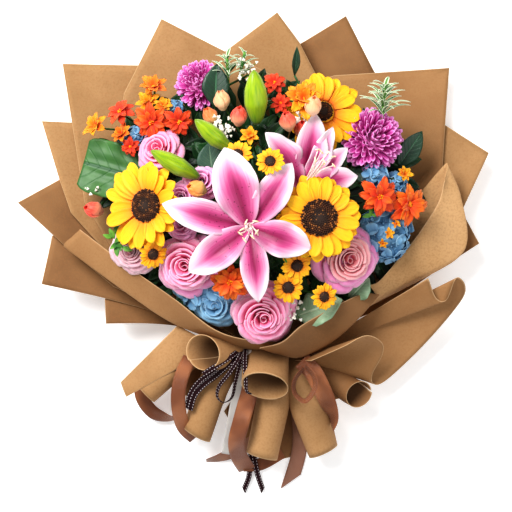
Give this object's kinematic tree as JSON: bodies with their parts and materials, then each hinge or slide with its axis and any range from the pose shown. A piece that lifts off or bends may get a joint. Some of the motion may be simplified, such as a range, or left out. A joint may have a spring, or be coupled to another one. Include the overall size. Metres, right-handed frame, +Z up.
{
  "type": "mixed flower bouquet",
  "caption": "Mixed bouquet of silk and foam flowers with pink lilies, sunflowers, roses and pompons, wrapped in kraft paper and tied with ribbons, lying on its back.",
  "frame": {"origin": "on the table, under the middle of the bouquet's box", "axes": "+Z up, the way the flowers face; +Y from the tie to the tips of the wrapper; +X to the right of the picture"},
  "size_m": [0.5232, 0.5462, 0.2104],
  "materials": {
    "kraft": "matte, finely speckled, thin pale cut edges",
    "satin": "satin",
    "dark_ribbon": "woven, with white stitched edges",
    "white_ribbon": "satin",
    "lily_petals": "satin, pale edges, deep pink middle",
    "anthers": "matte",
    "sunflower_petals": "matte, orange towards the middle",
    "seed_discs": "rough",
    "rose_petals": "matte",
    "peony_petals": "matte",
    "hydrangea": "matte",
    "pompon_petals": "matte",
    "mauve_petals": "matte",
    "small_heads": "matte, orange, red and yellow",
    "lily_buds": "satin",
    "greenery": "matte"
  },
  "bodies": {
    "root": {"binding_band": "satin", "front_wrap": "kraft", "collar_left": "kraft", "collar_right": "kraft", "flute_centre": "kraft", "flute_left": "kraft", "skirt_right": "kraft", "flute_right_low": "kraft", "roll_centre": "kraft", "roll_down_left": "kraft", "roll_down_right": "kraft", "roll_left": "kraft", "skirt_back": "kraft", "sheet_back_top_right": "kraft", "sheet_right_low": "kraft", "sheet_right_mid": "kraft", "sheet_back_right": "kraft", "sheet_back_top": "kraft", "sheet_left_lowest": "kraft", "sheet_left_low": "kraft", "sheet_left_point": "kraft", "sheet_left_fold": "kraft", "sheet_back_left": "kraft", "sheet_back_top_left": "kraft", "ribbon_satin_left": "satin", "ribbon_satin_centre": "satin", "ribbon_satin_right": "satin", "ribbon_satin_tail": "satin", "ribbon_white": "white_ribbon", "ribbon_stitched": "dark_ribbon", "ribbon_stitched_tails": "dark_ribbon", "lily_centre": "lily_petals", "lily_centre_stamens": "anthers", "sunflower_right_disc": "seed_discs", "sunflower_right": "sunflower_petals", "sunflower_left_disc": "seed_discs", "sunflower_left": "sunflower_petals", "lily_right": "lily_petals", "lily_right_stamens": "anthers", "rose_front": "rose_petals", "rose_left": "rose_petals", "peony_right": "peony_petals", "rose_upper_left": "rose_petals", "hydrangea_front": "hydrangea", "hydrangea_right": "hydrangea", "pompon_left": "pompon_petals", "pompon_right": "pompon_petals", "sunflower_top": "sunflower_petals", "peony_left": "peony_petals", "lily_buds": "lily_buds", "spray_front": "small_heads", "spray_centre": "small_heads", "spray_top": "small_heads", "spray_left": "small_heads", "spray_right": "small_heads", "mini_sunflower_left": "small_heads", "mauve_blossoms": "mauve_petals", "stems_and_leaves": "greenery"}
  },
  "joints": []
}
